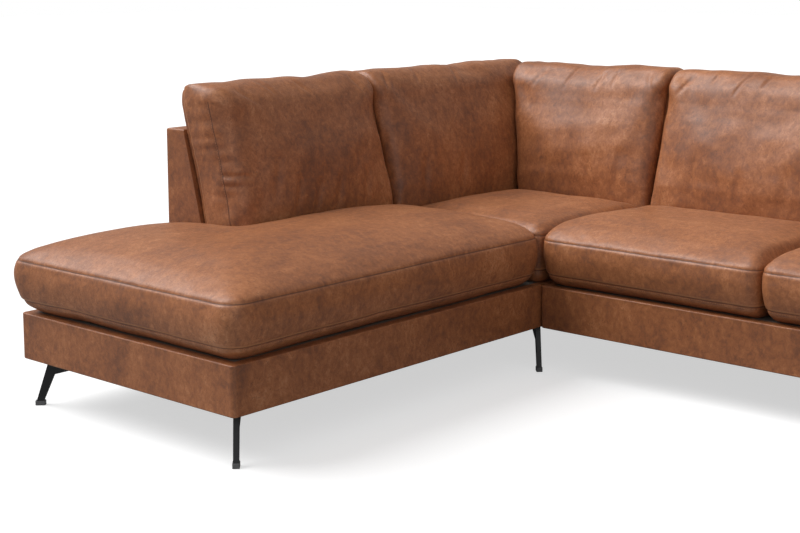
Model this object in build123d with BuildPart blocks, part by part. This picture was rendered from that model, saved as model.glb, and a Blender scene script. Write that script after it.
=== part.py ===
from build123d import *
import os
from math import cos, radians, sin, tan

os.makedirs("parts", exist_ok=True)

# U-shaped sofa in millimetres: two returns with open lounge ends joined by a centre run.
# The right return is the left one mirrored, with a shorter lounge end.
# +Z is up and the origin lies on the floor under the middle of the footprint.

# Plan of the three modules
module_depth = 920.0  # front of a base box to its rear face
return_reach = 1255.0  # front line of the centre run to the open end of a return
lounge_length = 542.0  # part of the left return that has no back
right_cutback = 150.0  # the right return is this much shorter
centre_seat_width = 775.0  # two of these between the returns
module_gap = 2.0  # joint between neighbouring base boxes

# Heights
leg_height = 140.0
base_height = 135.0
back_height = 490.0  # back frame above the base
seat_height = 200.0  # seat cushion at its crown
cushion_height = 638.0  # back cushion, measured upright

# Backs
back_top_depth = 80.0
back_rake = 14.7  # lean of the front face in degrees
back_padding = 8.0
board_thickness = 22.0
post_spacing = 480.0
web_width = 60.0
web_thickness = 1.5
lag_radius = 4.0
lag_length = 82.0

# Base boxes
base_padding = 8.0
lip_thickness = 6.0  # padded lip on top of the rails
lip_reach = 33.0
rail_thickness = 25.0
cleat_thickness = 24.0
cleat_height = 55.0
cross_height = 95.0
block_height = 45.0
block_reach = 290.0
cloth_thickness = 1.0
base_corner = 14.0
base_edge = 4.0

# Springs
wire_radius = 2.0
spring_spacing = 130.0
spring_pitch = 40.0
spring_swing = 22.0
spring_bend = 9.0
spring_lead = 45.0
clip_length = 20.0
clip_width = 16.0
clip_height = 9.0

# Legs, along the diagonal from the corner they stand under
leg_plate = 15.0
foot_near = 37.0
foot_far = 58.0
knee_far = 91.0
knee_height = 91.0
shoulder_near = 76.0
arm_end = 250.0
arm_tip = 9.0
flange_thickness = 4.0
flange_width = 46.0
glide_height = 13.0
glide_socket = 7.0
glide_length = 29.0
glide_width = 19.0
corner_leg_shift = 45.0  # the inner corner leg stands this much further out
support_radius = 22.0
stud_radius = 4.0
stud_length = 35.0

# Screws and connecting plates
screw_radius = 2.2
screw_length = 30.0
screw_head = 4.5
screw_head_height = 2.5
plate_length = 84.0
plate_width = 56.0
plate_thickness = 3.0
plate_inset = 210.0

# Cushions
seat_overhang = 25.0  # past the base at the free sides
seat_depth = 598.0  # base front to the rear of a seat cushion
seat_gap = 6.0
seat_corner = 55.0
tucked_corner = 34.0  # where a cushion meets its neighbour
notch_corner = 12.0
seat_pull = 4.0  # sides drawn in between the corners
cushion_depth = 178.0  # back cushion, front to rear
cushion_gap = 4.0
cushion_corner = 42.0  # at the open end
cushion_tuck = 28.0  # beside a neighbour
cushion_pull = 5.0
cover_thickness = 10.0  # cover with its wadding

# Clearances
rest_gap = 0.3  # under and behind loose cushions
core_gap = 0.5  # core inside its cover
seat_back_gap = 2.0  # rear of a seat cushion to the back cushion
lounge_gap = 5.0  # lounge seat to the end of the back
hole_gap = 0.1
mitre_gap = 0.5
pad_gap = 0.3

# Derived lines
half_centre = centre_seat_width
half_width = half_centre + module_depth
total_depth = module_depth + return_reach + seat_overhang
rear_y = total_depth / 2
line_y = rear_y - module_depth
end_y = line_y - return_reach
free_y = end_y + lounge_length
ends = {"left": end_y, "right": end_y + right_cutback}
deck_z = leg_height + base_height
back_z = deck_z + back_height
lean = tan(radians(back_rake))
back_foot_depth = back_top_depth + lean * back_height
wood_bottom = leg_height + cloth_thickness
rail_top = deck_z - lip_thickness
spring_z = rail_top - 2 * wire_radius - clip_height
wall = base_padding + rail_thickness


def moved_lines(points, shifts):
    # Corners of a polygon whose sides have moved inwards
    sides = []
    for (ax, ay), (bx, by), shift in zip(points, points[1:] + points[:1], shifts):
        length = ((bx - ax) ** 2 + (by - ay) ** 2) ** 0.5
        dx, dy = (bx - ax) / length, (by - ay) / length
        sides.append((ax - dy * shift, ay + dx * shift, dx, dy))
    corners = []
    for (ax, ay, adx, ady), (bx, by, bdx, bdy) in zip(sides[-1:] + sides[:-1], sides):
        along = ((bx - ax) * bdy - (by - ay) * bdx) / (adx * bdy - ady * bdx)
        corners.append((ax + adx * along, ay + ady * along))
    return corners


def pillow(planes, outline, insets, weights, skin, radii, pull):
    # Loft through layers of one outline, with rounded corners and drawn-in sides
    with BuildPart() as body:
        for plane, inset in zip(planes, insets):
            corners = moved_lines(outline, [inset * weight + skin for weight in weights])
            with BuildSketch(plane) as layer:
                with BuildLine():
                    for start, stop in zip(corners, corners[1:] + corners[:1]):
                        SagittaArc(start, stop, pull)
                make_face()
                for corner, radius in zip(corners, radii):
                    nearest = layer.vertices().sort_by_distance(Vector(*corner))[0]
                    fillet(nearest, radius=radius)
        loft()
    return body.part


# Height share and inset of each layer, bottom to crown
seat_layers = ((0, 42), (0.26, 9), (0.52, 0), (0.8, 8), (0.95, 42), (1, 96))
# Depth share and inset of each layer, rear to crown
cushion_layers = ((0, 24), (0.25, 2), (0.53, 0), (0.8, 8), (0.94, 38), (1, 84))

# How much of these insets a side takes: free, or pressed against a neighbour
free_side = 1.0
tucked_side = 0.36
lounge_weights = [free_side] * 2 + [tucked_side] * 3 + [free_side]
corner_weights = [tucked_side] * 4
centre_weights = [free_side] + [tucked_side] * 3
cushion_foot = 0.5
cushion_top = 0.9
cushion_open = 1.5
tucked_weights = [cushion_foot, tucked_side, cushion_top, tucked_side]
open_weights = [cushion_foot, tucked_side, cushion_top, cushion_open]
tucked_radii = [cushion_tuck] * 4
open_radii = [cushion_corner, cushion_tuck, cushion_tuck, cushion_corner]


def seat_form(outline, radii, weights, skin):
    bottom = deck_z + rest_gap + skin
    height = seat_height - rest_gap - 2 * skin
    planes = [Plane.XY.offset(bottom + share * height) for share, inset in seat_layers]
    insets = [inset for share, inset in seat_layers]
    return pillow(planes, outline, insets, weights, skin, radii, seat_pull)


def side_plane(depth):
    spot = (-half_width + back_foot_depth + rest_gap + depth, 0, deck_z + rest_gap)
    return Plane(spot, x_dir=(0, 1, 0), z_dir=(cos(radians(back_rake)), 0, sin(radians(back_rake))))


def rear_plane(depth):
    spot = (0, rear_y - back_foot_depth - rest_gap - depth, deck_z + rest_gap)
    return Plane(spot, x_dir=(1, 0, 0), z_dir=(0, -cos(radians(back_rake)), sin(radians(back_rake))))


def cushion_form(plane_at, outline, seat_face, radii, weights, skin):
    depth = cushion_depth - 2 * skin
    planes = [plane_at(skin + share * depth) for share, inset in cushion_layers]
    insets = [inset for share, inset in cushion_layers]
    whole = pillow(planes, outline, insets, weights, skin, radii, cushion_pull)
    with BuildPart() as body:
        add(whole)
        split(bisect_by=seat_face.offset(-skin), keep=Keep.BOTTOM)
    return body.part


def keep(name, solid):
    solid.label = name
    export_step(solid, "parts/" + name + ".step")


def mirrored(solid):
    return mirror(solid, about=Plane.YZ)


def sided(side, solid):
    return mirrored(solid) if side == "right" else solid


def keep_pair(name, solid):
    keep("left_" + name, solid)
    keep("right_" + name, mirrored(solid))


def gathered(*solids):
    with BuildPart() as body:
        for solid in solids:
            add(solid, clean=False)
    return body.part


def cut_from(solid, *tools):
    with BuildPart() as body:
        add(solid)
        for tool in tools:
            add(tool, mode=Mode.SUBTRACT, clean=False)
    return body.part


# Seat cushions
seat_front_x = -half_centre + seat_overhang
seat_rear_x = -half_centre - seat_depth
lounge_x = -half_width - seat_overhang
notch_y = free_y - lounge_gap
seat_rear_y = line_y + seat_depth
half_gap = seat_gap / 2
lounge_outlines = {
    side: [
        (lounge_x, end - seat_overhang),
        (seat_front_x, end - seat_overhang),
        (seat_front_x, line_y - half_gap),
        (seat_rear_x, line_y - half_gap),
        (seat_rear_x, notch_y),
        (lounge_x, notch_y),
    ]
    for side, end in ends.items()
}
corner_outline = [
    (seat_rear_x, line_y + half_gap),
    (-half_centre - half_gap, line_y + half_gap),
    (-half_centre - half_gap, seat_rear_y),
    (seat_rear_x, seat_rear_y),
]
centre_outline = [
    (-half_centre + half_gap, line_y - seat_overhang),
    (-half_gap, line_y - seat_overhang),
    (-half_gap, seat_rear_y),
    (-half_centre + half_gap, seat_rear_y),
]
lounge_radii = [seat_corner] * 3 + [tucked_corner, notch_corner, tucked_corner]
corner_radii = [tucked_corner] * 4
centre_radii = [seat_corner] + [tucked_corner] * 3


def seat_pieces(outline, radii, weights):
    shell = seat_form(outline, radii, weights, 0)
    hollow = seat_form(outline, radii, weights, cover_thickness)
    return cut_from(shell, hollow), seat_form(outline, radii, weights, cover_thickness + core_gap)


for side, outline in lounge_outlines.items():
    cover, core = seat_pieces(outline, lounge_radii, lounge_weights)
    keep(side + "_lounge_seat_cover", sided(side, cover))
    keep(side + "_lounge_seat_core", sided(side, core))
for name, outline, radii, weights in (
    ("corner_seat", corner_outline, corner_radii, corner_weights),
    ("centre_seat", centre_outline, centre_radii, centre_weights),
):
    cover, core = seat_pieces(outline, radii, weights)
    keep_pair(name + "_cover", cover)
    keep_pair(name + "_core", core)

# Back cushions: the side ones lean to the side, the rear ones to the rear
slope_height = cushion_height / cos(radians(back_rake))
slip = lean * cushion_height
half_slit = cushion_gap / 2
side_face = Plane((seat_rear_x - seat_back_gap, 0, 0), z_dir=(1, 0, 0))
rear_face = Plane((0, seat_rear_y + seat_back_gap, 0), z_dir=(0, -1, 0))
corner_far_y = rear_y - back_foot_depth - half_slit
rear_start_x = -half_width + back_foot_depth + cushion_depth + cushion_gap
side_outline = [
    (free_y + half_slit, 0),
    (line_y - half_slit, 0),
    (line_y - half_slit, slope_height),
    (free_y + half_slit, slope_height),
]
turn_outline = [
    (line_y + half_slit, 0),
    (corner_far_y, 0),
    (corner_far_y + slip, slope_height),
    (line_y + half_slit, slope_height),
]
rear_outline = [
    (rear_start_x, 0),
    (-half_centre - half_slit, 0),
    (-half_centre - half_slit, slope_height),
    (rear_start_x - slip, slope_height),
]
middle_outline = [
    (-half_centre + half_slit, 0),
    (-half_slit, 0),
    (-half_slit, slope_height),
    (-half_centre + half_slit, slope_height),
]
cushions = (
    ("side_cushion", side_plane, side_outline, side_face, open_radii, open_weights),
    ("corner_cushion", side_plane, turn_outline, side_face, tucked_radii, tucked_weights),
    ("rear_cushion", rear_plane, rear_outline, rear_face, tucked_radii, tucked_weights),
    ("centre_cushion", rear_plane, middle_outline, rear_face, tucked_radii, tucked_weights),
)
for name, *form in cushions:
    shell = cushion_form(*form, 0)
    hollow = cushion_form(*form, cover_thickness)
    keep_pair(name + "_cover", cut_from(shell, hollow))
    keep_pair(name + "_filling", cushion_form(*form, cover_thickness + core_gap))


def box(x0, x1, y0, y1, z0, z1):
    with BuildPart() as body:
        with BuildSketch(Plane.XY.offset(z0)):
            with Locations(((x0 + x1) / 2, (y0 + y1) / 2)):
                Rectangle(x1 - x0, y1 - y0)
        extrude(amount=z1 - z0)
    return body.part


def pegs(spots, radius, z0, z1):
    with BuildPart() as body:
        with BuildSketch(Plane.XY.offset(z0)):
            with Locations(*spots):
                Circle(radius)
        extrude(amount=z1 - z0)
    return body.part


# Where the legs stand: reference corner and the way inwards in degrees
corner_step = corner_leg_shift / 2**0.5
leg_spots = {
    side: {
        "outer_front_legs": ((-half_width, end), 45),
        "inner_front_legs": ((-half_centre, end), 135),
        "corner_legs": ((-half_centre + corner_step, line_y - corner_step), 135),
        "rear_outer_legs": ((-half_width, rear_y), -45),
        "rear_inner_legs": ((-half_centre, rear_y), -135),
    }
    for side, end in ends.items()
}
leg_screw_spots = ((shoulder_near + 26, 14), (shoulder_near + 26, -14), (arm_end - 18, 14), (arm_end - 18, -14))


def turned(spot, corner, angle):
    along, across = spot
    turn = radians(angle)
    return (
        corner[0] + along * cos(turn) - across * sin(turn),
        corner[1] + along * sin(turn) + across * cos(turn),
    )


screw_spots = {
    side: [turned(spot, corner, angle) for corner, angle in spots.values() for spot in leg_screw_spots]
    for side, spots in leg_spots.items()
}

# One leg with its glide, along +X from the corner
with BuildPart() as leg:
    with BuildSketch(Plane.XZ.offset(-leg_plate / 2)):
        with BuildLine():
            Polyline(
                (foot_near, glide_height - glide_socket),
                (foot_far, glide_height - glide_socket),
                (foot_far, glide_height),
                (knee_far, knee_height),
                (arm_end, leg_height - flange_thickness - arm_tip),
                (arm_end, leg_height - flange_thickness),
                (shoulder_near, leg_height - flange_thickness),
                (foot_near, glide_height),
                close=True,
            )
        make_face()
    extrude(amount=leg_plate)
    with BuildSketch(Plane.XY.offset(leg_height - flange_thickness)):
        with Locations(((shoulder_near + arm_end) / 2, 0)):
            RectangleRounded(arm_end - shoulder_near + 8, flange_width, 6)
        with Locations(*leg_screw_spots):
            Circle(screw_radius + hole_gap, mode=Mode.SUBTRACT)
    extrude(amount=flange_thickness)

glide_middle = (foot_near + foot_far) / 2
with BuildPart() as glide:
    with BuildSketch():
        with Locations((glide_middle, 0)):
            RectangleRounded(glide_length, glide_width, 3)
    extrude(amount=glide_height)
    add(leg.part, mode=Mode.SUBTRACT)


def placed(solid, spots):
    with BuildPart() as body:
        for corner, angle in spots:
            with Locations(Location((corner[0], corner[1], 0), (0, 0, angle))):
                add(solid)
    return body.part


for name in leg_spots["left"]:
    keep(name, gathered(*[sided(side, placed(leg.part, [spots[name]])) for side, spots in leg_spots.items()]))
keep(
    "leg_glides",
    gathered(*[sided(side, placed(glide.part, spots.values())) for side, spots in leg_spots.items()]),
)

# Connecting plates under the joints between the modules
rail_middle = base_padding + rail_thickness / 2
plate_ys = (line_y + plate_inset, rear_y - plate_inset)
plate_screw_spots = []
with BuildPart() as plates:
    for y in plate_ys:
        steps = (-rail_middle, rail_middle + module_gap)
        spots = [(-half_centre + dx, y + dy) for dx in steps for dy in (-16, 16)]
        plate_screw_spots += spots
        with BuildSketch(Plane.XY.offset(leg_height - plate_thickness)):
            with Locations((-half_centre + module_gap / 2, y)):
                RectangleRounded(plate_length, plate_width, 5)
            with Locations(*spots):
                Circle(screw_radius + hole_gap, mode=Mode.SUBTRACT)
        extrude(amount=plate_thickness)
keep("module_plates", gathered(plates.part, mirrored(plates.part)))


def screws(spots, under):
    heads = pegs(spots, screw_head, under - screw_head_height, under)
    return gathered(heads, pegs(spots, screw_radius, under, under + screw_length))


leg_screws = [sided(side, screws(spots, leg_height - flange_thickness)) for side, spots in screw_spots.items()]
plate_screws = screws(plate_screw_spots, leg_height - plate_thickness)
keep("wood_screws", gathered(*leg_screws, plate_screws, mirrored(plate_screws)))

# Support feet under the middle of the centre run
support_spots = ((0, line_y + 0.58 * module_depth), (0, rear_y - 70))
support = gathered(
    pegs(support_spots, support_radius, 0, leg_height),
    pegs(support_spots, stud_radius, leg_height, leg_height + stud_length),
)
keep("centre_support_feet", support)

# Posts of the back frames, and lag screws between them into the base rails
def post_rows(first, last):
    count = max(1, round((last - first) / post_spacing))
    return [first + k * (last - first) / count for k in range(count + 1)]


def between(posts):
    return [(a + b + board_thickness) / 2 for a, b in zip(posts, posts[1:])]


centre_x = half_centre - module_gap
turn_depth = back_foot_depth + 2 * board_thickness
side_posts = post_rows(free_y + back_padding, rear_y - turn_depth)
rear_last = -half_centre - back_padding - board_thickness
rear_posts = post_rows(-half_width + turn_depth - board_thickness, rear_last)
mid_posts = post_rows(-centre_x + back_padding, centre_x - back_padding - board_thickness)
lag_side = [(-half_width + rail_middle, y) for y in between(side_posts)]
lag_rear = [(x, rear_y - rail_middle) for x in between(rear_posts)]
lag_mid = [(x, rear_y - rail_middle) for x in between(mid_posts) if x < -rail_thickness]
lag_top = deck_z + back_padding + board_thickness
lag_spots = lag_side + lag_rear + lag_mid
lag_shank = pegs(lag_spots, lag_radius, lag_top - lag_length, lag_top)
lag_heads = pegs(lag_spots, 2 * lag_radius, lag_top, lag_top + lag_radius)
lags = gathered(lag_shank, lag_heads)
keep("back_lag_screws", gathered(lags, mirrored(lags)))
lag_holes = pegs(lag_spots, lag_radius + hole_gap, lag_top - lag_length, lag_top)
screw_tops = (leg_height, leg_height + screw_length)
holes = {
    side: gathered(lag_holes, pegs(spots + plate_screw_spots, screw_radius + hole_gap, *screw_tops))
    for side, spots in screw_spots.items()
}
support_holes = pegs(support_spots, stud_radius + hole_gap, leg_height, leg_height + stud_length)
tools = (holes["left"], mirrored(holes["right"]), support_holes)


def base_cover(x0, x1, y0, y1, *bores):
    with BuildPart() as body:
        with BuildSketch(Plane.XY.offset(leg_height)):
            with Locations(((x0 + x1) / 2, (y0 + y1) / 2)):
                RectangleRounded(x1 - x0, y1 - y0, base_corner)
        extrude(amount=base_height)
        fillet(body.faces().sort_by(Axis.Z)[-1].edges(), radius=base_edge)
        fillet(body.faces().sort_by(Axis.Z)[0].edges(), radius=base_edge)
    pad = base_padding
    inner = box(x0 + pad, x1 - pad, y0 + pad, y1 - pad, leg_height, rail_top)
    well = box(x0 + lip_reach, x1 - lip_reach, y0 + lip_reach, y1 - lip_reach, rail_top, deck_z)
    return cut_from(body.part, inner, well, *bores)


def base_frame(x0, x1, y0, y1, cross_boxes, corner_spots, *bores):
    pad = base_padding
    cleat = wall + cleat_thickness
    outer = box(x0 + pad, x1 - pad, y0 + pad, y1 - pad, wood_bottom, rail_top)
    room = box(x0 + wall, x1 - wall, y0 + wall, y1 - wall, wood_bottom, rail_top)
    rails = cut_from(outer, room)
    ledge = box(x0 + wall, x1 - wall, y0 + wall, y1 - wall, spring_z - cleat_height, spring_z)
    cleats = cut_from(ledge, box(x0 + cleat, x1 - cleat, y0 + cleat, y1 - cleat, 0, deck_z))
    blocks = []
    for corner, angle in corner_spots:
        with BuildPart() as block:
            with BuildSketch(Plane.XY.offset(wood_bottom)):
                with BuildLine():
                    Polyline(
                        turned((0, 0), corner, angle),
                        turned((block_reach, -block_reach), corner, angle),
                        turned((block_reach, block_reach), corner, angle),
                        close=True,
                    )
                make_face()
            extrude(amount=block_height)
            add(outer, mode=Mode.INTERSECT)
        blocks.append(block.part)
    return cut_from(gathered(rails, cleats, *blocks, *cross_boxes), *bores)


inner_x0 = -half_width + wall
inner_x1 = -half_centre - wall
cross_top = wood_bottom + cross_height
for side, end in ends.items():
    cross = [
        box(inner_x0, inner_x1, y - rail_thickness, y + rail_thickness, wood_bottom, cross_top)
        for y in (line_y - 0.52 * (line_y - end), line_y + 0.3 * module_depth)
    ]
    corners = [spot for name, spot in leg_spots[side].items() if name != "corner_legs"]
    corners.append(((-half_centre, line_y), 135))
    frame = base_frame(-half_width, -half_centre, end, rear_y, cross, corners, holes[side])
    keep(side + "_base_frame", sided(side, frame))
    keep(side + "_base_cover", sided(side, base_cover(-half_width, -half_centre, end, rear_y, holes[side])))
centre_cross = [box(-40, 40, line_y + wall, rear_y - wall, wood_bottom, cross_top)]
keep("centre_base_frame", base_frame(-centre_x, centre_x, line_y, rear_y, centre_cross, [], *tools))
keep("centre_base_cover", base_cover(-centre_x, centre_x, line_y, rear_y, *tools))

# Felt pads over the springs and dust cloth under the frames
lip = lip_reach + pad_gap
pad_bottom = spring_z + clip_height + pad_gap
edge = base_padding
pads = [cut_from(box(-centre_x + lip, centre_x - lip, line_y + lip, rear_y - lip, pad_bottom, deck_z), *tools)]
cloth_span = (line_y + edge, rear_y - edge, leg_height, wood_bottom)
cloths = [cut_from(box(-centre_x + edge, centre_x - edge, *cloth_span), *tools)]
for side, end in ends.items():
    pad = box(-half_width + lip, -half_centre - lip, end + lip, rear_y - lip, pad_bottom, deck_z)
    cloth = box(-half_width + edge, -half_centre - edge, end + edge, rear_y - edge, leg_height, wood_bottom)
    pads.append(sided(side, cut_from(pad, holes[side])))
    cloths.append(sided(side, cut_from(cloth, holes[side])))
keep("deck_pads", gathered(*pads))
keep("dust_covers", gathered(*cloths))


def spring(length):
    # Sinuous wire along +X, from clip to clip
    swings = int((length - 2 * spring_lead) / spring_pitch)
    first = (length - swings * spring_pitch) / 2
    points = [(0, 0), (first, 0)]
    for k in range(swings):
        points.append((first + (k + 0.5) * spring_pitch, spring_swing * (1 if k % 2 else -1)))
    points += [(length - first, 0), (length, 0)]
    with BuildPart() as body:
        with BuildLine():
            FilletPolyline(*points, radius=spring_bend)
        with BuildSketch(Plane.YZ):
            Circle(wire_radius)
        sweep()
    return body.part


def clip():
    # Block on the cleat with a bore for the wire
    with BuildPart() as body:
        with BuildSketch(Plane.YZ):
            Rectangle(clip_width, clip_height)
            Circle(wire_radius + hole_gap, mode=Mode.SUBTRACT)
        extrude(amount=clip_length)
    return body.part


def rows(first, last):
    count = int((last - first) / spring_spacing)
    step = (last - first) / count
    return [first + k * step for k in range(count + 1)]


wire_z = spring_z + clip_height / 2
spring_length = module_depth - 2 * wall
run_rows = rows(-centre_x + wall + 70, centre_x - wall - 70)
spring_spots = {"run": [Location((x, line_y + wall, wire_z), (0, 0, 90)) for x in run_rows]}
for side, end in ends.items():
    side_rows = rows(end + wall + 70, rear_y - wall - 70)
    spring_spots[side] = [Location((inner_x0, y, wire_z)) for y in side_rows]
one_spring = spring(spring_length)
near_clip = clip()
far_clip = clip().moved(Location((spring_length - clip_length, 0, 0)))


def repeated(spots, *solids):
    with BuildPart() as body:
        with Locations(*spots):
            for solid in solids:
                add(solid)
    return body.part


spring_sets = [sided(name, repeated(spots, one_spring)) for name, spots in spring_spots.items()]
keep("seat_springs", gathered(*spring_sets))
clip_sets = [sided(name, repeated(spots, near_clip, far_clip)) for name, spots in spring_spots.items()]
keep("spring_clips", gathered(*clip_sets))


def wedge_points(inset, front):
    # Cross-section of a back: depth from the outer face and height
    skew = front / cos(radians(back_rake))
    return [
        (inset, deck_z + inset),
        (back_foot_depth - lean * inset - skew, deck_z + inset),
        (back_top_depth + lean * inset - skew, back_z - inset),
        (inset, back_z - inset),
    ]


def slab(plane, points, start, stop):
    # A cross-section run along a back between two stations
    with BuildPart() as body:
        with BuildSketch(plane.offset(-start)):
            with BuildLine():
                Polyline(*points, close=True)
            make_face()
        extrude(amount=start - stop)
    return body.part


def band(inset, front, z0, z1):
    # Slice of the cross-section between two heights
    skew = front / cos(radians(back_rake))
    at = [back_foot_depth - lean * (z - deck_z) - skew for z in (z0, z1)]
    return [(inset, z0), (at[0], z0), (at[1], z1), (inset, z1)]


def mitred(solid, mitre, inset):
    if mitre is None:
        return solid
    with BuildPart() as body:
        add(solid)
        split(bisect_by=mitre.offset(mitre_gap + inset), keep=Keep.TOP)
    return body.part


def back(name, plane, start, stop, posts, mitre, pair):
    # Padded cover, wooden frame and webbing of one back
    pad = back_padding
    tail = 0 if mitre else pad
    with BuildPart() as outside:
        add(mitred(slab(plane, wedge_points(0, 0), start, stop), mitre, 0))
        fillet(outside.faces().sort_by(Axis.Z)[-1].edges(), radius=pad * 0.8)
    room = mitred(slab(plane, wedge_points(pad, pad), start + pad, stop - tail), mitre, pad)
    cover = cut_from(outside.part, room, *tools)
    wood = pad + web_thickness + 2 * pad_gap
    floor_board = band(pad, wood, deck_z + pad, deck_z + pad + board_thickness)
    top_board = band(pad, wood, back_z - pad - board_thickness, back_z - pad)
    boards = [slab(plane, points, start + pad, stop - tail) for points in (floor_board, top_board)]
    post = wedge_points(pad, wood)
    uprights = [slab(plane, post, at, at + board_thickness) for at in posts]
    frame = cut_from(mitred(gathered(*boards, *uprights), mitre, pad), *tools)
    straps = []
    for share in (0.25, 0.5, 0.75):
        z = deck_z + share * back_height
        skew = (pad + pad_gap + web_thickness) / cos(radians(back_rake))
        near = back_foot_depth - lean * (z - deck_z) - skew
        far = back_foot_depth - lean * (z + web_width - deck_z) - skew
        step = web_thickness / cos(radians(back_rake))
        points = [(near, z), (near + step, z), (far + step, z + web_width), (far, z + web_width)]
        straps.append(mitred(slab(plane, points, posts[0], posts[-1] + board_thickness), mitre, pad))
    strap_set = gathered(*straps)
    if pair:
        keep_pair(name + "_back_cover", cover)
        keep_pair(name + "_back_frame", frame)
        return [strap_set, mirrored(strap_set)]
    keep(name + "_back_cover", cover)
    keep(name + "_back_frame", frame)
    return [strap_set]


side_run = Plane((-half_width, 0, 0), x_dir=(1, 0, 0), z_dir=(0, -1, 0))
rear_run = Plane((0, rear_y, 0), x_dir=(0, -1, 0), z_dir=(-1, 0, 0))
side_mitre = Plane((-half_width, rear_y, 0), z_dir=(-1, -1, 0))
rear_mitre = Plane((-half_width, rear_y, 0), z_dir=(1, 1, 0))
webbing = back("side", side_run, free_y, rear_y, side_posts, side_mitre, True)
webbing += back("rear", rear_run, -half_width, -half_centre, rear_posts, rear_mitre, True)
webbing += back("centre", rear_run, -centre_x, centre_x, mid_posts, None, False)
keep("back_webbing", gathered(*webbing))
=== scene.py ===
import math

import bmesh
import bpy
import numpy as np
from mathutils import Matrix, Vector


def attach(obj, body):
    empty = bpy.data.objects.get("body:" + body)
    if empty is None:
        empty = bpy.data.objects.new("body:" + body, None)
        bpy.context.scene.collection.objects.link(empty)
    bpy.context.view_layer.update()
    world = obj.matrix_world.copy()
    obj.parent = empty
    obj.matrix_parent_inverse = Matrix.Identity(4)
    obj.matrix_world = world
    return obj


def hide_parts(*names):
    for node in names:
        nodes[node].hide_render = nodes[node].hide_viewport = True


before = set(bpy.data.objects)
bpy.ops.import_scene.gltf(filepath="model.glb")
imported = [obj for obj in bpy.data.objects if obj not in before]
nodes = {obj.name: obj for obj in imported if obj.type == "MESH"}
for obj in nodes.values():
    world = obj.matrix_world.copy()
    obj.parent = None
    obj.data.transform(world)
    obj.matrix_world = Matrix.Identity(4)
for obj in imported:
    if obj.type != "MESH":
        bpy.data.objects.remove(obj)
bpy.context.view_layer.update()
scene = bpy.context.scene
print("loaded", len(nodes), "nodes")

# sizes shared with the solids, in metres
rake = math.radians(14.7)
lean = math.tan(rake)
deckZ = 0.275
sideRear = -1.695 + 0.2085  # front of the side back at deck height
rearRear = 1.1 - 0.2085  # front of the rear back at deck height
weldGap = 1e-5  # points closer than this are one


# node helpers
def put(tree, kind, links=None, **props):
    node = tree.nodes.new(kind)
    for key, value in props.items():
        setattr(node, key, value)
    for key, value in (links or {}).items():
        if isinstance(value, bpy.types.NodeSocket):
            tree.links.new(value, node.inputs[key])
        else:
            node.inputs[key].default_value = value
    return node


def calc(tree, operation, a, b=0.5):
    return put(tree, "ShaderNodeMath", {0: a, 1: b}, operation=operation).outputs[0]


def shared(tree, parts):
    # the sum of values, each one counted by its share
    total = None
    for value, share in parts:
        part = calc(tree, "MULTIPLY", value, share)
        total = part if total is None else calc(tree, "ADD", total, part)
    return total


def span(tree, value, fromLow, fromHigh, toLow=0.0, toHigh=1.0, smooth=False):
    links = {"Value": value, "From Min": fromLow, "From Max": fromHigh, "To Min": toLow, "To Max": toHigh}
    kind = "SMOOTHSTEP" if smooth else "LINEAR"
    return put(tree, "ShaderNodeMapRange", links, interpolation_type=kind).outputs[0]


def blendColour(tree, factor, a, b, kind="MIX"):
    node = put(tree, "ShaderNodeMix", data_type="RGBA", blend_type=kind)
    for key, value in ((0, factor), (6, a), (7, b)):
        if isinstance(value, bpy.types.NodeSocket):
            tree.links.new(value, node.inputs[key])
        else:
            node.inputs[key].default_value = value
    return node.outputs[2]


def newGroup(name, ins, outs):
    tree = bpy.data.node_groups.new(name, "ShaderNodeTree")
    for label, kind, value in ins:
        socket = tree.interface.new_socket(label, in_out="INPUT", socket_type=kind)
        if value is not None:
            socket.default_value = value
    for label, kind in outs:
        tree.interface.new_socket(label, in_out="OUTPUT", socket_type=kind)
    return tree, tree.nodes.new("NodeGroupInput"), tree.nodes.new("NodeGroupOutput")


def newMaterial(name):
    mat = bpy.data.materials.new(name)
    mat.use_nodes = True
    mat.node_tree.nodes.clear()
    return mat, mat.node_tree


def finishMaterial(tree, inputs):
    shader = put(tree, "ShaderNodeBsdfPrincipled", inputs)
    put(tree, "ShaderNodeOutputMaterial", {"Surface": shader.outputs[0]})


def noiseAt(tree, place, scale, detail=4.0, rough=0.55, distort=0.0):
    links = {"Vector": place, "Scale": scale, "Detail": detail, "Roughness": rough, "Distortion": distort}
    return put(tree, "ShaderNodeTexNoise", links).outputs["Fac"]


# worn hide: cloudy tone, dark flecks, rubbed lights and pores
hideTones = {
    "deep": (0.194, 0.074, 0.036, 1),
    "dark": (0.268, 0.098, 0.041, 1),
    "middle": (0.346, 0.125, 0.047, 1),
    "light": (0.424, 0.161, 0.062, 1),
    # the rubbed tone also paints the highlight above the lower seam
    "rubbed_and_highlight": (0.535, 0.238, 0.110, 1),
    # the fleck tone also paints the shade in the seams
    "fleck_and_shade": (0.110, 0.042, 0.022, 1),
    "thread": (0.430, 0.215, 0.115, 1),
}
# sizes of the marks as noise scales, where the tones lie and how deep each mark goes
hideSettings = {
    "clouds": {"scale": 4.0, "detail": 4.0, "rough": 0.6, "distort": 0.6},
    "patches": {"scale": 14.0, "detail": 8.0, "rough": 0.72, "distort": 0.8},
    "fine": {"scale": 58.0, "detail": 6.0, "rough": 0.76, "distort": 0.5},
    "specks": {"scale": 165.0, "detail": 3.0, "rough": 0.65},
    "scuffs": {"scale": 110.0, "detail": 4.0, "rough": 0.72, "distort": 1.4},
    "pores": 380.0,
    "toneShares": (0.28, 0.30, 0.42),
    "stops": ((0.32, "deep"), (0.42, "dark"), (0.50, "middle"), (0.585, "light"), (0.70, "rubbed_and_highlight")),
    "speckDepth": 0.50,
    "scuffDepth": 0.42,
    "heightShares": (0.45, 1.1, 1.6),
}


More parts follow.
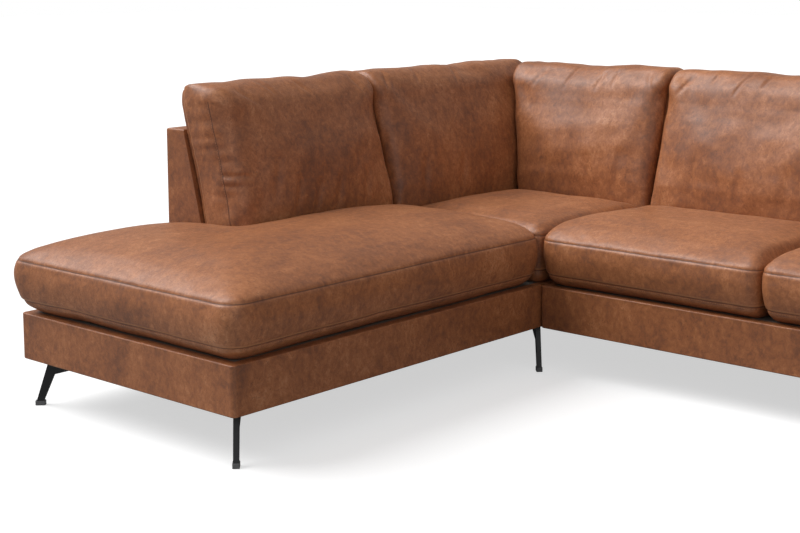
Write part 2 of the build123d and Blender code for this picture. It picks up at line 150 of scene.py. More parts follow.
def makeHide():
    ins = [("Place", "NodeSocketVector", None), ("Grain", "NodeSocketVector", None)]
    ins.append(("Contrast", "NodeSocketFloat", 1.0))
    outs = [("Colour", "NodeSocketColor"), ("Gloss", "NodeSocketFloat"), ("Height", "NodeSocketFloat")]
    tree, start, end = newGroup("wornHide", ins, outs)
    place, dots = start.outputs["Place"], start.outputs["Grain"]
    clouds = noiseAt(tree, place, **hideSettings["clouds"])
    patches = noiseAt(tree, place, **hideSettings["patches"])
    fine = noiseAt(tree, dots, **hideSettings["fine"])
    tone = shared(tree, zip((clouds, patches, fine), hideSettings["toneShares"]))
    tone = calc(tree, "MULTIPLY", calc(tree, "SUBTRACT", tone, 0.5), start.outputs["Contrast"])
    tone = calc(tree, "ADD", tone, 0.5)
    ramp = put(tree, "ShaderNodeValToRGB", {0: tone})
    stops = hideSettings["stops"]
    while len(ramp.color_ramp.elements) < len(stops):
        ramp.color_ramp.elements.new(0.5)
    for element, (at, name) in zip(ramp.color_ramp.elements, stops):
        element.position, element.color = at, hideTones[name]
    specks = noiseAt(tree, dots, **hideSettings["specks"])
    mask = calc(tree, "MULTIPLY", span(tree, specks, 0.57, 0.65), span(tree, patches, 0.38, 0.58))
    mask = calc(tree, "MULTIPLY", mask, hideSettings["speckDepth"])
    colour = blendColour(tree, mask, ramp.outputs[0], hideTones["fleck_and_shade"])
    scuffs = noiseAt(tree, dots, **hideSettings["scuffs"])
    mask = calc(tree, "MULTIPLY", span(tree, scuffs, 0.56, 0.67), span(tree, clouds, 0.42, 0.58))
    mask = calc(tree, "MULTIPLY", mask, hideSettings["scuffDepth"])
    colour = blendColour(tree, mask, colour, hideTones["rubbed_and_highlight"])
    links = {"Vector": dots, "Scale": hideSettings["pores"]}
    pores = put(tree, "ShaderNodeTexVoronoi", links, feature="DISTANCE_TO_EDGE")
    grain = span(tree, pores.outputs["Distance"], 0.0, 0.18)
    height = shared(tree, zip((grain, fine, patches), hideSettings["heightShares"]))
    tree.links.new(colour, end.inputs["Colour"])
    tree.links.new(span(tree, tone, 0.36, 0.64), end.inputs["Gloss"])
    tree.links.new(height, end.inputs["Height"])
    return tree


hideGroup = makeHide()


# sewn line: a furrow where an attribute runs through zero, darkened with painted shade
def makeSeamLine():
    ins = [("Gap", "NodeSocketFloat", 1.0), ("Width", "NodeSocketFloat", 0.0012)]
    tree, start, end = newGroup("seamLine", ins, [("Line", "NodeSocketFloat"), ("Dip", "NodeSocketFloat")])
    gap = calc(tree, "ABSOLUTE", start.outputs["Gap"])
    width = start.outputs["Width"]
    near, far = calc(tree, "MULTIPLY", width, 0.5), calc(tree, "MULTIPLY", width, 1.6)
    # painted shade: how wide the dark line along the seam is
    shadeLine = span(tree, gap, near, far, 1.0, 0.0, True)
    dip = span(tree, gap, 0.0, calc(tree, "MULTIPLY", width, 4.0), 1.0, 0.0, True)
    tree.links.new(shadeLine, end.inputs["Line"])
    tree.links.new(dip, end.inputs["Dip"])
    return tree


seamGroup = makeSeamLine()


# hide with the lie of its streaks: up the upright faces, along one axis on the flat ones
leatherSettings = {
    "wallStretch": (1.0, 1.0, 0.62),
    "grainStretch": (1.0, 1.0, 0.85),
    "wallContrast": 1.62,
    "topContrast": 1.35,
    "rough": (0.49, 0.36),  # dull and rubbed
    "specular": 0.55,
    "sheen": {"Weight": 0.03, "Roughness": 0.4, "Tint": (0.95, 0.72, 0.56, 1)},
    "bump": {"Strength": 0.35, "Distance": 0.0011},
    "seamWidths": {"seamA": 0.0013, "seamB": 0.0015},
    # how strongly painted shade darkens the seams
    "seamShade": 0.80,
    "seamDip": 2.0,
    # painted highlight above the lower seam: where it lies, how wide and how strong
    "foldHighlight": {"at": 0.0050, "near": 0.0020, "far": 0.0048, "tone": 0.70},
}


def sewnLook(tree, colour, height):
    # the furrow of each seam, darkened with painted shade, and a painted highlight on the folded edge above
    # the lower one
    foldHighlight = leatherSettings["foldHighlight"]
    for label, width in leatherSettings["seamWidths"].items():
        gap = put(tree, "ShaderNodeAttribute", attribute_name=label).outputs["Fac"]
        if label == "seamB":
            # painted highlight: the pale tone laid along the folded edge above the lower seam
            edge = calc(tree, "ABSOLUTE", calc(tree, "SUBTRACT", gap, foldHighlight["at"]))
            edge = span(tree, edge, foldHighlight["near"], foldHighlight["far"], foldHighlight["tone"], 0.0, True)
            colour = blendColour(tree, edge, colour, hideTones["rubbed_and_highlight"])
        seam = put(tree, "ShaderNodeGroup", node_tree=seamGroup)
        tree.links.new(gap, seam.inputs["Gap"])
        seam.inputs["Width"].default_value = width
        # painted shade: the seam darkened towards the fleck tone
        shadeLine = calc(tree, "MULTIPLY", seam.outputs["Line"], leatherSettings["seamShade"])
        colour = blendColour(tree, shadeLine, colour, hideTones["fleck_and_shade"])
        dip = calc(tree, "MULTIPLY", seam.outputs["Dip"], leatherSettings["seamDip"])
        height = calc(tree, "SUBTRACT", height, dip)
    return colour, height


def makeLeather(name, along, sewn, shift, shade=(1, 1, 1, 1)):
    mat, tree = newMaterial(name)
    place = put(tree, "ShaderNodeTexCoord")
    facing = put(tree, "ShaderNodeSeparateXYZ", {0: place.outputs["Normal"]})
    flat = span(tree, calc(tree, "ABSOLUTE", facing.outputs[2]), 0.55, 0.80, 0, 1, True)
    offset = (3.1 * shift, 1.7 * shift, 2.3 * shift)  # no two pieces are cut from the same place

    def stretched(scale):
        links = {"Vector": place.outputs["Object"], "Location": offset, "Scale": scale}
        return put(tree, "ShaderNodeMapping", links).outputs[0]

    def hideOn(scale, contrast):
        hide = put(tree, "ShaderNodeGroup", node_tree=hideGroup)
        tree.links.new(stretched(scale), hide.inputs["Place"])
        tree.links.new(grain, hide.inputs["Grain"])
        hide.inputs["Contrast"].default_value = contrast
        return hide.outputs

    grain = stretched(leatherSettings["grainStretch"])
    wall = hideOn(leatherSettings["wallStretch"], leatherSettings["wallContrast"])
    top = hideOn(along, leatherSettings["topContrast"])
    colour = blendColour(tree, flat, wall["Colour"], top["Colour"])
    # painted shade: the whole hide darkened for the covers
    if shade[0] < 1:
        colour = blendColour(tree, 1.0, colour, shade, "MULTIPLY")
    gloss = shared(tree, ((wall["Gloss"], 0.5), (top["Gloss"], 0.5)))
    height = wall["Height"]
    if sewn:
        colour, height = sewnLook(tree, colour, height)
    inputs = {
        "Base Color": colour,
        "Roughness": span(tree, gloss, 0.0, 1.0, *leatherSettings["rough"]),
        "Normal": put(tree, "ShaderNodeBump", {"Height": height, **leatherSettings["bump"]}).outputs[0],
        "Specular IOR Level": leatherSettings["specular"],
    }
    for label, value in leatherSettings["sheen"].items():
        inputs["Sheen " + label] = value
    finishMaterial(tree, inputs)
    return mat


# soft pieces: mesh size, how full each one is, where it is sewn and which way its streaks lie
seatStuffing = {
    "voxel": 0.010,
    "pressure": 3.4,
    "cap": 0.020,  # the most that the stuffing moves a point
    "ease": 60,  # rounds of evening out
    "fill": 0.8,
    "along": (1.0, 0.5, 1.0),
}
backStuffing = {
    "voxel": 0.010,
    "pressure": 3.8,
    "cap": 0.026,
    "ease": 20,
    "fill": 0.65,
    "seams": (0.127, 0.016),
}
cushionSettings = {
    "lounge_seat": {**seatStuffing, "voxel": 0.0115, "cap": 0.022, "seams": (0.430, 0.316)},
    "corner_seat": {**seatStuffing, "seams": (0.426, 0.316)},
    "centre_seat": {**seatStuffing, "seams": (0.422, 0.315), "along": (0.5, 1.0, 1.0)},
    "side_cushion": {**backStuffing, "along": (1.0, 0.6, 1.0)},
    "corner_cushion": {**backStuffing, "along": (1.0, 0.6, 1.0)},
    "rear_cushion": {**backStuffing, "along": (0.6, 1.0, 1.0)},
    "centre_cushion": {**backStuffing, "along": (0.6, 1.0, 1.0)},
}
# free edges of the seats that the crown falls away from: axis, place, reach of the fall
crownSettings = {
    "lounge_seat": {
        "rise": 0.018,
        "falls": ((0, -1.72, 0.30), (0, -0.75, 0.30), (1, -1.10, 0.32), (1, 0.22, 0.45)),
    },
    "corner_seat": {"rise": -0.011, "falls": ((0, -0.70, 0.16), (1, 0.10, 0.16))},
    "centre_seat": {"rise": -0.004, "falls": ((1, 0.155, 0.50), (0, -0.772, 0.12), (0, -0.003, 0.12))},
}
# creases on the fronts: along the run and up at both ends, then depth and width
creaseSettings = {
    "side_cushion": (
        (-0.305, 0.905, -0.280, 0.865, 0.0034, 0.007),
        (-0.420, 0.880, -0.350, 0.835, 0.0030, 0.008),
        (-0.160, 0.905, -0.130, 0.860, 0.0028, 0.007),
        (0.090, 0.890, 0.120, 0.830, 0.0034, 0.008),
        (-0.180, 0.580, -0.210, 0.490, 0.0032, 0.012),
        (-0.090, 0.590, -0.115, 0.490, 0.0034, 0.012),
        (-0.335, 0.670, -0.370, 0.550, 0.0026, 0.013),
        (-0.262, 0.600, -0.295, 0.500, 0.0030, 0.012),
        (0.040, 0.600, 0.020, 0.490, 0.0028, 0.013),
    ),
    "corner_cushion": (
        (0.260, 0.900, 0.225, 0.840, 0.0036, 0.008),
        (0.420, 0.905, 0.400, 0.860, 0.0028, 0.007),
        (0.620, 0.900, 0.590, 0.850, 0.0030, 0.008),
        (0.330, 0.610, 0.310, 0.490, 0.0030, 0.013),
        (0.520, 0.600, 0.500, 0.490, 0.0030, 0.013),
    ),
    "rear_cushion": (
        (-1.174, 0.900, -1.188, 0.830, 0.0036, 0.006),
        (-1.034, 0.885, -1.050, 0.832, 0.0034, 0.007),
        (-0.978, 0.892, -0.984, 0.845, 0.0030, 0.007),
        (-1.300, 0.890, -1.330, 0.835, 0.0030, 0.008),
        (-0.850, 0.890, -0.820, 0.830, 0.0030, 0.009),
        (-1.210, 0.620, -1.205, 0.500, 0.0026, 0.014),
        (-1.030, 0.600, -1.025, 0.500, 0.0028, 0.014),
        (-0.900, 0.620, -0.905, 0.500, 0.0026, 0.014),
    ),
    "centre_cushion": (
        (-0.463, 0.902, -0.496, 0.838, 0.0038, 0.006),
        (-0.388, 0.905, -0.402, 0.868, 0.0034, 0.006),
        (-0.580, 0.906, -0.593, 0.872, 0.0030, 0.006),
        (-0.680, 0.890, -0.710, 0.830, 0.0030, 0.008),
        (-0.220, 0.900, -0.245, 0.845, 0.0034, 0.007),
        (-0.090, 0.890, -0.065, 0.835, 0.0030, 0.008),
        (-0.600, 0.610, -0.595, 0.500, 0.0028, 0.014),
        (-0.420, 0.590, -0.415, 0.500, 0.0028, 0.014),
        (-0.250, 0.610, -0.252, 0.500, 0.0026, 0.014),
    ),
}
# how much the wall under the lower seam is drawn in, over which height, and whether sideways or forward
tuckSettings = {
    "depth": 0.018,
    "height": 0.038,
    "lounge_seat": (1.0, 1.0),
    "corner_seat": (0.0, 0.0),
    "centre_seat": (0.0, 1.0),
}
# pulls across the sewn edge at the open end of the side cushion: past the seam and up at both ends
pullSettings = (
    (0.000, 0.634, 0.085, 0.628, 0.0036, 0.0065),
    (-0.004, 0.602, 0.050, 0.600, 0.0030, 0.0065),
    (-0.105, 0.738, 0.020, 0.752, 0.0024, 0.009),
    (-0.110, 0.702, 0.055, 0.718, 0.0024, 0.009),
    (-0.085, 0.790, 0.010, 0.800, 0.0020, 0.010),
    (-0.002, 0.676, 0.060, 0.672, 0.0018, 0.009),
    (-0.070, 0.572, 0.010, 0.566, 0.0018, 0.009),
    (-0.090, 0.838, 0.020, 0.842, 0.0014, 0.010),
)


def isSeat(piece):
    return piece.endswith("_seat")


def onSide(piece):
    return piece in ("side_cushion", "corner_cushion")


def meshObject(name, mesh):
    obj = bpy.data.objects.new(name, mesh)
    scene.collection.objects.link(obj)
    return obj


def clad(obj, mat):
    obj.data.materials.clear()
    obj.data.materials.append(mat)


def opened(mesh):
    bm = bmesh.new()
    bm.from_mesh(mesh)
    return bm


def closed(bm, name):
    mesh = bpy.data.meshes.new(name)
    bm.to_mesh(mesh)
    bm.free()
    return mesh


def outerSkin(node):
    # the largest of the shells that a hollow cover is made of
    bm = opened(nodes[node].data)
    bmesh.ops.remove_doubles(bm, verts=bm.verts, dist=weldGap)
    best, seen = [], set()
    for seed in bm.verts:
        if seed in seen:
            continue
        stack, island = [seed], []
        seen.add(seed)
        while stack:
            vert = stack.pop()
            island.append(vert)
            for edge in vert.link_edges:
                other = edge.other_vert(vert)
                if other not in seen:
                    seen.add(other)
                    stack.append(other)
        spread = max(v.co.x for v in island) - min(v.co.x for v in island)
        if not best or spread > best[0]:
            best = [spread, island]
    keepSet = set(best[1])
    bmesh.ops.delete(bm, geom=[v for v in bm.verts if v not in keepSet], context="VERTS")
    return closed(bm, node + "Skin")


def settled(obj):
    graph = bpy.context.evaluated_depsgraph_get()
    mesh = bpy.data.meshes.new_from_object(obj.evaluated_get(graph))
    obj.modifiers.clear()
    old = obj.data
    obj.data = mesh
    bpy.data.meshes.remove(old)
    return obj


def points(mesh, kind="co"):
    flat = np.zeros(len(mesh.vertices) * 3)
    mesh.vertices.foreach_get(kind, flat)
    return flat.reshape(-1, 3)


def setPoints(mesh, co):
    mesh.vertices.foreach_set("co", co.ravel())
    mesh.update()


def ripple(co, length, seed, count=22):
    # smooth repeatable noise from plane waves, about -1 to 1
    rng = np.random.default_rng(seed)
    way = rng.normal(size=(count, 3))
    way /= np.linalg.norm(way, axis=1)[:, None]
    size = 2 * math.pi / (length * rng.uniform(0.7, 1.5, count))
    waves = np.sin(co @ (way * size[:, None]).T + rng.uniform(0, 6.28, count))
    return waves.sum(1) / math.sqrt(count / 2) * 0.6


def gauss(gap, width):
    return np.exp(-((gap / width) ** 2))


def seamGaps(piece, co):
    # signed distance to the two sewn lines of a piece
    first, second = cushionSettings[piece]["seams"]
    if isSeat(piece):
        depth = co[:, 2]
    elif onSide(piece):
        depth = co[:, 0] - sideRear + lean * (co[:, 2] - deckZ)
    else:
        depth = rearRear + lean * (co[:, 2] - deckZ) - co[:, 1]
    return depth - first, depth - second


def step(value, low, high):
    share = np.clip((value - low) / (high - low), 0, 1)
    return share * share * (3 - 2 * share)


def creased(a, b, marks):
    # furrows with soft banks along short lines in a plane
    push = np.zeros(len(a))
    for a0, b0, a1, b1, depth, width in marks:
        da, db = a1 - a0, b1 - b0
        along = np.clip(((a - a0) * da + (b - b0) * db) / (da * da + db * db), 0, 1)
        gap = np.hypot(a - a0 - along * da, b - b0 - along * db)
        fade = np.sin(math.pi * (0.18 + 0.72 * along))
        bank = 0.35 * gauss(gap - 2.2 * width, 1.3 * width)
        push += depth * fade * (bank - gauss(gap, width))
    return push


def crown(piece, co, normal):
    # the top of a seat swells towards its middle
    share = np.ones(len(co))
    for axis, place, reach in crownSettings[piece]["falls"]:
        share *= step(np.abs(co[:, axis] - place), 0.0, reach)
    return crownSettings[piece]["rise"] * share * step(normal[:, 2], 0.3, 0.8)


def tuck(mesh, piece):
    # the lowest strip of a seat slopes in under it on the free sides
    co, normal = points(mesh), points(mesh, "normal")
    sideways, forward = tuckSettings[piece]
    share = np.maximum(sideways * np.abs(normal[:, 0]), forward * np.clip(-normal[:, 1], 0, 1))
    level = np.linalg.norm(normal[:, :2], axis=1)
    share = np.clip(share / np.maximum(level, 1e-6), 0, 1) * (level > 0.2)
    under = cushionSettings[piece]["seams"][1] - co[:, 2]
    share *= step(under, 0.0, tuckSettings["height"]) * tuckSettings["depth"]
    co[:, :2] -= normal[:, :2] / np.maximum(level, 1e-6)[:, None] * share[:, None]
    setPoints(mesh, co)


def eased(mesh, move, times):
    # spread a shift over its neighbours, so that it keeps no wrinkles
    ends = np.zeros(len(mesh.edges) * 2, dtype=np.int32)
    mesh.edges.foreach_get("vertices", ends)
    a, b = ends.reshape(-1, 2).T
    size = len(move)
    count = np.bincount(a, minlength=size) + np.bincount(b, minlength=size)
    for _ in range(times):
        near = [np.bincount(a, move[b, k], size) + np.bincount(b, move[a, k], size) for k in range(3)]
        move = 0.5 * move + 0.5 * np.stack(near, 1) / count[:, None]
    return move


clothSettings = {
    "quality": 4,
    "mass": 0.4,
    "tension_stiffness": 22,
    "compression_stiffness": 22,
    "shear_stiffness": 12,
    "bending_stiffness": 2.5,
    "vertex_group_mass": "held",
    "use_pressure": True,
}
clothFrames = 20


def inflate(obj, piece, settings):
    # blow the cover up between its seams, then limit and even out how far it moved
    co = points(obj.data)
    gapA, gapB = seamGaps(piece, co)
    held = (np.abs(gapA) < settings["voxel"] * 0.55) | (gapB < settings["voxel"] * 0.5)
    group = obj.vertex_groups.new(name="held")
    group.add([int(i) for i in np.flatnonzero(held)], 1.0, "REPLACE")
    cloth = obj.modifiers.new("stuffing", "CLOTH")
    for key, value in clothSettings.items():
        setattr(cloth.settings, key, value)
    cloth.settings.uniform_pressure_force = settings["pressure"]
    cloth.settings.effector_weights.gravity = 0
    cloth.collision_settings.use_collision = False
    for tick in range(1, clothFrames + 1):
        scene.frame_set(tick)
    settled(obj)
    scene.frame_set(1)
    move = points(obj.data) - co
    far = np.linalg.norm(move, axis=1)[:, None]
    move = move * np.minimum(1.0, settings["cap"] / np.maximum(far, 1e-9))
    setPoints(obj.data, co + eased(obj.data, move, settings["ease"]))


def smoothed(obj, times, factor=0.5):
    mod = obj.modifiers.new("relax", "SMOOTH")
    mod.iterations, mod.factor = times, factor
    return settled(obj)


def makeCushion(piece, settings):
    obj = meshObject(piece, outerSkin("left_" + piece + "_cover"))
    if isSeat(piece):
        tuck(obj.data, piece)
    mod = obj.modifiers.new("skin", "REMESH")
    mod.mode, mod.voxel_size = "VOXEL", settings["voxel"]
    settled(obj)
    smoothed(obj, 5)
    inflate(obj, piece, settings)
    smoothed(obj, 2 if isSeat(piece) else 5)
    mod = obj.modifiers.new("fine", "SUBSURF")
    mod.levels = mod.render_levels = 1
    settled(obj)
    sew(obj, piece)
    return obj


# heights of the relief that sewing leaves: gathers beside the seams, slow swell and short wave
reliefSettings = {
    "seat": {"gather": 0.0007, "swell": 0.0018, "wave": 0.0005},
    "back": {"gather": 0.0012, "swell": 0.0032, "wave": 0.0012},
}
# open end of the side cushion: where it is, how square its panel stays and the roll beside it
endSettings = {"at": -0.530, "square": 0.75, "pulls": 0.75, "roll": 0.012}


def sewSeat(co, normal, piece, gapA):
    push = 0.0020 * gauss(gapA + 0.055, 0.035) + 0.0034 * gauss(gapA - 0.004, 0.014)
    return co + np.array((0, 0, 1)) * crown(piece, co, normal)[:, None], push


def sewBack(co, piece, front, seed):
    up = co[:, 2]
    run = co[:, 1] if onSide(piece) else co[:, 0]
    push = creased(run, up, creaseSettings[piece]) * step(front, -0.03, 0.005)
    # a fuller roll along the top of the front
    roll = 0.005 * gauss(up - 0.855, 0.028) - 0.004 * gauss(up - 0.77, 0.05)
    push += roll * step(front, 0.0, 0.03)
    # the top edge rises and dips a little
    push += 0.004 * ripple(np.stack((run, 0 * run, 0 * run), 1), 0.16, seed + 3) * step(up, 0.84, 0.89)
    if piece == "side_cushion":
        inside = run - endSettings["at"]
        over = np.where(front < 0, front, inside)
        push += endSettings["pulls"] * creased(over, up, pullSettings) * step(run, -0.42, -0.46)
        # the end panel stays square towards the back
        square = endSettings["square"] * step(-front, 0.0, 0.08) * (1 - step(inside, 0.03, 0.11))
        co[:, 1] = np.where(inside > 0, inside * (1 - square) + endSettings["at"], run)
        # and the front rolls round to it
        beside = gauss(inside - 0.055, 0.045) * step(front, 0.0, 0.04) * step(up, 0.47, 0.56)
        push += endSettings["roll"] * beside
    return co, push


def sew(obj, piece):
    mesh = obj.data
    co, normal = points(mesh), points(mesh, "normal")
    gapA, gapB = seamGaps(piece, co)
    seed = 10 * list(cushionSettings).index(piece)
    relief = reliefSettings["seat" if isSeat(piece) else "back"]
    front = gapA
    if not isSeat(piece):  # the front runs over the top, so the seam shows at the ends only
        gapA = gapA + 0.2 * np.sign(gapA) * step(co[:, 2], 0.855, 0.885)
    push = -0.0018 * gauss(gapA, 0.0045) - 0.0034 * gauss(gapB + 0.002, 0.006)
    push += relief["gather"] * ripple(co, 0.055, seed) * gauss(np.abs(gapA) - 0.016, 0.016)
    push += relief["swell"] * ripple(co, 0.30, seed + 1)
    push += relief["wave"] * ripple(co, 0.10, seed + 2)
    if isSeat(piece):
        co, more = sewSeat(co, normal, piece, gapA)
    else:
        co, more = sewBack(co, piece, front, seed)
    setPoints(mesh, co + normal * (push + more)[:, None])
    for label, gap in (("seamA", gapA), ("seamB", gapB)):
        data = mesh.attributes.new(label, "FLOAT", "POINT")
        data.data.foreach_set("value", gap)
    for face in mesh.polygons:
        face.use_smooth = True


def mirroredCopy(obj, name):
    bm = opened(obj.data)
    for vert in bm.verts:
        vert.co.x = -vert.co.x
    bmesh.ops.reverse_faces(bm, faces=bm.faces)
    return meshObject(name, closed(bm, name))


# the right lounge seat is the shorter one: its open end is drawn back
loungeSettings = {"from": -0.545, "to": -0.90, "back": 0.15}


def shorten(obj):
    co = points(obj.data)
    start, stop = loungeSettings["from"], loungeSettings["to"]
    co[:, 1] += loungeSettings["back"] * np.clip((co[:, 1] - start) / (stop - start), 0, 1)
    setPoints(obj.data, co)


# thread laid beside the sewn lines
stitchSettings = {
    "spacing": 0.0078,
    "length": 0.0050,
    "radius": 0.0008,
    "beside": 0.0045,  # from the seam
    "below": 0.845,  # no thread on top of the back cushions
    "inside": 1.345,  # nor where a back cushion rubs along the corner seat
}


def threadMaterial():
    mat, tree = newMaterial("sewingThread")
    place = put(tree, "ShaderNodeTexCoord").outputs["Object"]
    twist = put(tree, "ShaderNodeTexWave", {"Vector": place, "Scale": 900.0, "Distortion": 2.0})
    colour = blendColour(tree, twist.outputs["Fac"], hideTones["light"], hideTones["thread"])
    bump = put(tree, "ShaderNodeBump", {"Height": twist.outputs["Fac"], "Strength": 0.3, "Distance": 0.0003})
    inputs = {"Base Color": colour, "Roughness": 0.6, "Sheen Weight": 0.2, "Normal": bump.outputs[0]}
    finishMaterial(tree, inputs)
    return mat


def makeStitchTree(mat):
    tree = bpy.data.node_groups.new("stitchRow", "GeometryNodeTree")
    tree.interface.new_socket("Path", in_out="INPUT", socket_type="NodeSocketGeometry")
    for label in ("Spacing", "Length", "Radius"):
        tree.interface.new_socket(label, in_out="INPUT", socket_type="NodeSocketFloat")
    tree.interface.new_socket("Stitches", in_out="OUTPUT", socket_type="NodeSocketGeometry")
    start = tree.nodes.new("NodeGroupInput")
    end = tree.nodes.new("NodeGroupOutput")
    curve = put(tree, "GeometryNodeMeshToCurve", {0: start.outputs["Path"]})
    links = {"Curve": curve.outputs[0], "Length": start.outputs["Spacing"]}
    even = put(tree, "GeometryNodeResampleCurve", links, mode="LENGTH")
    links = {"Vertices": 6, "Radius": start.outputs["Radius"], "Depth": start.outputs["Length"]}
    stitch = put(tree, "GeometryNodeMeshCylinder", links)
    tangent = put(tree, "GeometryNodeInputTangent")
    lie = put(tree, "FunctionNodeAlignRotationToVector", {"Vector": tangent.outputs[0]}, axis="Z")
    links = {"Points": even.outputs[0], "Instance": stitch.outputs["Mesh"], "Rotation": lie.outputs[0]}
    row = put(tree, "GeometryNodeInstanceOnPoints", links)
    real = put(tree, "GeometryNodeRealizeInstances", {0: row.outputs[0]})
    done = put(tree, "GeometryNodeSetMaterial", {"Geometry": real.outputs[0], "Material": mat})
    tree.links.new(done.outputs[0], end.inputs[0])
    return tree


stitchTree = makeStitchTree(threadMaterial())


def seamCut(obj, piece, side):
    # the line where a plane beside the seam meets the cushion
    first, second = cushionSettings[piece]["seams"]
    beside = stitchSettings["beside"]
    if isSeat(piece):
        at, facing = (0, 0, second - beside), (0, 0, 1)
    elif onSide(piece):
        at, facing = (side * (sideRear + first - beside), 0, deckZ), (side, 0, lean)
    else:
        at, facing = (0, rearRear - first + beside, deckZ), (0, -1, lean)
    bm = opened(obj.data)
    whole = bm.verts[:] + bm.edges[:] + bm.faces[:]
    cut = bmesh.ops.bisect_plane(bm, geom=whole, plane_co=at, plane_no=facing)["geom_cut"]
    kept = [item for item in cut if isinstance(item, bmesh.types.BMVert)]
    lines = [item for item in cut if isinstance(item, bmesh.types.BMEdge)]
    lines = [edge for edge in lines if max(vert.co.z for vert in edge.verts) < stitchSettings["below"]]
    if piece == "corner_seat":
        inside = stitchSettings["inside"]
        lines = [edge for edge in lines if max(abs(vert.co.x) for vert in edge.verts) < inside]
    index = {vert: k for k, vert in enumerate(kept)}
    mesh = bpy.data.meshes.new(obj.name + "Seam")
    ends = [(index[edge.verts[0]], index[edge.verts[1]]) for edge in lines]
    mesh.from_pydata([vert.co[:] for vert in kept], ends, [])
    bm.free()
    return mesh


def stitched(obj, piece, body):
    row = meshObject(body + "_stitches", seamCut(obj, piece, -1 if body.startswith("right") else 1))
    mod = row.modifiers.new("stitchRow", "NODES")
    mod.node_group = stitchTree
    for item in stitchTree.interface.items_tree:
        if item.in_out == "INPUT" and item.name.lower() in stitchSettings:
            mod[item.identifier] = stitchSettings[item.name.lower()]
    settled(row)
    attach(row, body)


for piece, settings in cushionSettings.items():
    left = makeCushion(piece, settings)
    left.name = "left_" + piece + "_soft"
    right = mirroredCopy(left, "right_" + piece + "_soft")
    if piece == "lounge_seat":
        shorten(right)
    inner = "_core" if isSeat(piece) else "_filling"
    turn = list(cushionSettings).index(piece) + 1
    for side, obj, shift in (("left_", left, turn), ("right_", right, turn + 20)):
        clad(obj, makeLeather(obj.name + "Hide", settings["along"], True, shift))
        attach(obj, side + piece)
        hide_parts(side + piece + "_cover", side + piece + inner)
        stitched(obj, piece, side + piece)
    print("cushion", piece, len(left.data.polygons), "faces")


# covers of the bases and backs, darkened a little with painted shade
coverShade = (0.92, 0.89, 0.86, 1)
lieAlongY, lieAlongX = (1.0, 0.42, 1.0), (0.42, 1.0, 1.0)
coverSettings = {
    "left_base_cover": lieAlongY,
    "right_base_cover": lieAlongY,
    "centre_base_cover": lieAlongX,
    "left_side_back_cover": lieAlongY,
    "right_side_back_cover": lieAlongY,
    "left_rear_back_cover": lieAlongX,
    "right_rear_back_cover": lieAlongX,
    "centre_back_cover": lieAlongX,
}
for shift, (name, along) in enumerate(coverSettings.items(), 31):
    clad(nodes[name], makeLeather(name + "Hide", along, False, shift, coverShade))
print("covers dressed")


# plain finishes with a little life in them
def makeFinish(name, tone, second, rough, scale, metallic, bump):
    mat, tree = newMaterial(name)
    place = put(tree, "ShaderNodeTexCoord").outputs["Object"]
    cloud = noiseAt(tree, place, scale, 5.0, 0.6)
    grit = noiseAt(tree, place, scale * 14, 3.0, 0.6)
    relief = put(tree, "ShaderNodeBump", {"Height": grit, "Strength": bump, "Distance": 0.0004})
    inputs = {
        "Base Color": blendColour(tree, cloud, tone, second),
        "Roughness": span(tree, grit, 0.3, 0.7, rough - 0.06, rough + 0.06),
        "Metallic": metallic,
        "Normal": relief.outputs[0],
    }
    finishMaterial(tree, inputs)
    return mat


# two tones, roughness, size of the clouds, metallic, bump
finishes = {
    "blackMetal": ((0.020, 0.021, 0.022, 1), (0.031, 0.032, 0.034, 1), 0.38, 30.0, 0.35, 0.15),
    "glidePlastic": ((0.11, 0.112, 0.115, 1), (0.19, 0.195, 0.20, 1), 0.30, 60.0, 0.0, 0.1),
    "rawWood": ((0.46, 0.30, 0.16, 1), (0.58, 0.40, 0.23, 1), 0.65, 12.0, 0.0, 0.3),
    "springWire": ((0.09, 0.09, 0.095, 1), (0.13, 0.13, 0.13, 1), 0.40, 25.0, 0.9, 0.1),
    "screwZinc": ((0.52, 0.52, 0.50, 1), (0.62, 0.62, 0.60, 1), 0.35, 40.0, 1.0, 0.1),
    "clipPlastic": ((0.68, 0.68, 0.64, 1), (0.74, 0.74, 0.70, 1), 0.45, 30.0, 0.0, 0.1),
    "greyFelt": ((0.17, 0.165, 0.15, 1), (0.24, 0.23, 0.21, 1), 0.9, 40.0, 0.0, 0.6),
    "dustCloth": ((0.012, 0.012, 0.013, 1), (0.022, 0.022, 0.024, 1), 0.85, 50.0, 0.0, 0.5),
    "supportPlastic": ((0.012, 0.012, 0.012, 1), (0.020, 0.020, 0.020, 1), 0.5, 30.0, 0.0, 0.2),
    "webBand": ((0.02, 0.02, 0.02, 1), (0.04, 0.04, 0.04, 1), 0.8, 60.0, 0.0, 0.5),
}
finishOf = {
    "leg_glides": "glidePlastic",
    "wood_screws": "screwZinc",
    "back_lag_screws": "screwZinc",
    "module_plates": "blackMetal",
    "centre_support_feet": "supportPlastic",
    "seat_springs": "springWire",
    "spring_clips": "clipPlastic",
    "deck_pads": "greyFelt",
    "dust_covers": "dustCloth",
    "back_webbing": "webBand",
}
made = {name: makeFinish(name, *values) for name, values in finishes.items()}
for name in nodes:
    if name in finishOf:
        clad(nodes[name], made[finishOf[name]])
    elif name.endswith("_legs"):
        clad(nodes[name], made["blackMetal"])
    elif name.endswith("_frame"):
        clad(nodes[name], made["rawWood"])
print("finishes done")


# the spring wires are out of sight, so a copy with fewer faces stands in for them
springSettings = {"keep": 0.08}


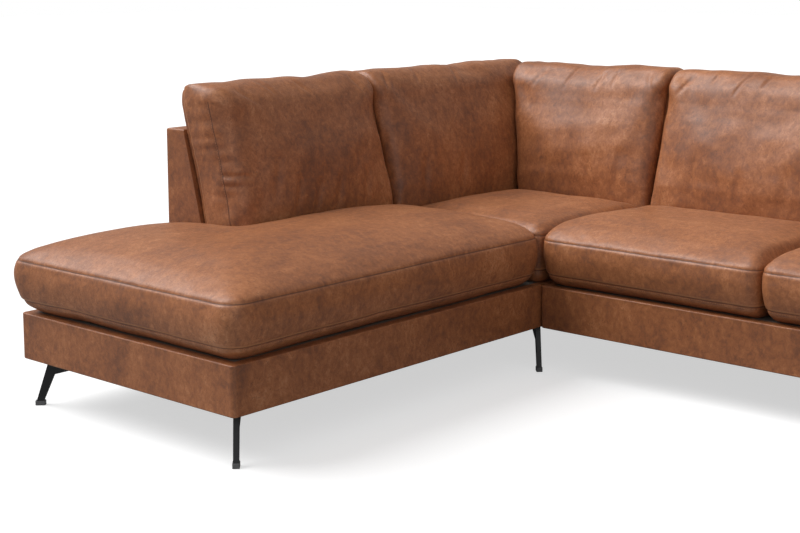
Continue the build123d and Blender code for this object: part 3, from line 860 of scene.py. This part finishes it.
def thinSprings():
    bm = opened(nodes["seat_springs"].data)
    bmesh.ops.remove_doubles(bm, verts=bm.verts, dist=weldGap)
    wires = meshObject("seat_spring_wires", closed(bm, "springWires"))
    wires.modifiers.new("thin", "DECIMATE").ratio = springSettings["keep"]
    settled(wires)
    clad(wires, made["springWire"])
    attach(wires, "frame")
    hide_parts("seat_springs")
    print("springs", len(wires.data.polygons), "faces")


thinSprings()


# floor, light and camera
stageSettings = {"size": 60.0, "shadow": 0.60, "paper": 0.52, "bounce": 0.30, "sky": 0.31}


def grey(level):
    return (level, level, level, 1)


def makeFloor():
    size = stageSettings["size"] / 2
    mesh = bpy.data.meshes.new("floor")
    corners = [(-size, -size, 0), (size, -size, 0), (size, size, 0), (-size, size, 0)]
    mesh.from_pydata(corners, [], [(0, 1, 2, 3)])
    floor = meshObject("floor", mesh)
    mat, tree = newMaterial("paperFloor")
    paper = put(tree, "ShaderNodeBsdfDiffuse", {"Color": grey(stageSettings["paper"])})
    glow = put(tree, "ShaderNodeEmission", {"Color": grey(stageSettings["shadow"]), "Strength": 1.0})
    lit = put(tree, "ShaderNodeAddShader", {0: paper.outputs[0], 1: glow.outputs[0]})
    dull = put(tree, "ShaderNodeBsdfDiffuse", {"Color": grey(stageSettings["bounce"])})
    seen = put(tree, "ShaderNodeLightPath").outputs["Is Camera Ray"]
    mix = put(tree, "ShaderNodeMixShader", {0: seen, 1: dull.outputs[0], 2: lit.outputs[0]})
    put(tree, "ShaderNodeOutputMaterial", {"Surface": mix.outputs[0]})
    mesh.materials.append(mat)


def makeWorld():
    scene.world = bpy.data.worlds.new("studio")
    scene.world.use_nodes = True
    tree = scene.world.node_tree
    tree.nodes.clear()
    ray = put(tree, "ShaderNodeLightPath")
    seen = calc(tree, "MAXIMUM", ray.outputs["Is Camera Ray"], ray.outputs["Is Transmission Ray"])
    soft = put(tree, "ShaderNodeBackground", {"Color": grey(1.0), "Strength": stageSettings["sky"]})
    white = put(tree, "ShaderNodeBackground", {"Color": grey(1.0), "Strength": 1.0})
    mix = put(tree, "ShaderNodeMixShader", {0: seen, 1: soft.outputs[0], 2: white.outputs[0]})
    put(tree, "ShaderNodeOutputWorld", {"Surface": mix.outputs[0]})


makeFloor()
makeWorld()

lampSettings = {
    "key": {"from": (-0.55, -0.32, 0.77), "strength": 3.25, "angle": 46},
    "fill": {"from": (0.75, -0.45, 0.50), "strength": 0.32, "angle": 60},
}
for name, lamp in lampSettings.items():
    data = bpy.data.lights.new(name, "SUN")
    data.energy, data.angle = lamp["strength"], math.radians(lamp["angle"])
    light = bpy.data.objects.new(name, data)
    light.rotation_euler = Vector(lamp["from"]).to_track_quat("Z", "Y").to_euler()
    scene.collection.objects.link(light)

cameraSettings = {
    "at": (2.0266, -3.4886, 1.269),
    "turn": 0.7007,
    "dip": 0.1203,
    "lens": 67.65,
    "sensor": 36.0,
    "shift": (-0.085, -0.15),
}
camera = bpy.data.objects.new("camera", bpy.data.cameras.new("camera"))
scene.collection.objects.link(camera)
camera.location = cameraSettings["at"]
camera.rotation_euler = (math.pi / 2 - cameraSettings["dip"], 0, cameraSettings["turn"])
camera.data.lens = cameraSettings["lens"]
camera.data.sensor_width = cameraSettings["sensor"]
camera.data.shift_x, camera.data.shift_y = cameraSettings["shift"]
scene.camera = camera
scene.view_settings.view_transform = "Standard"
print("stage set")
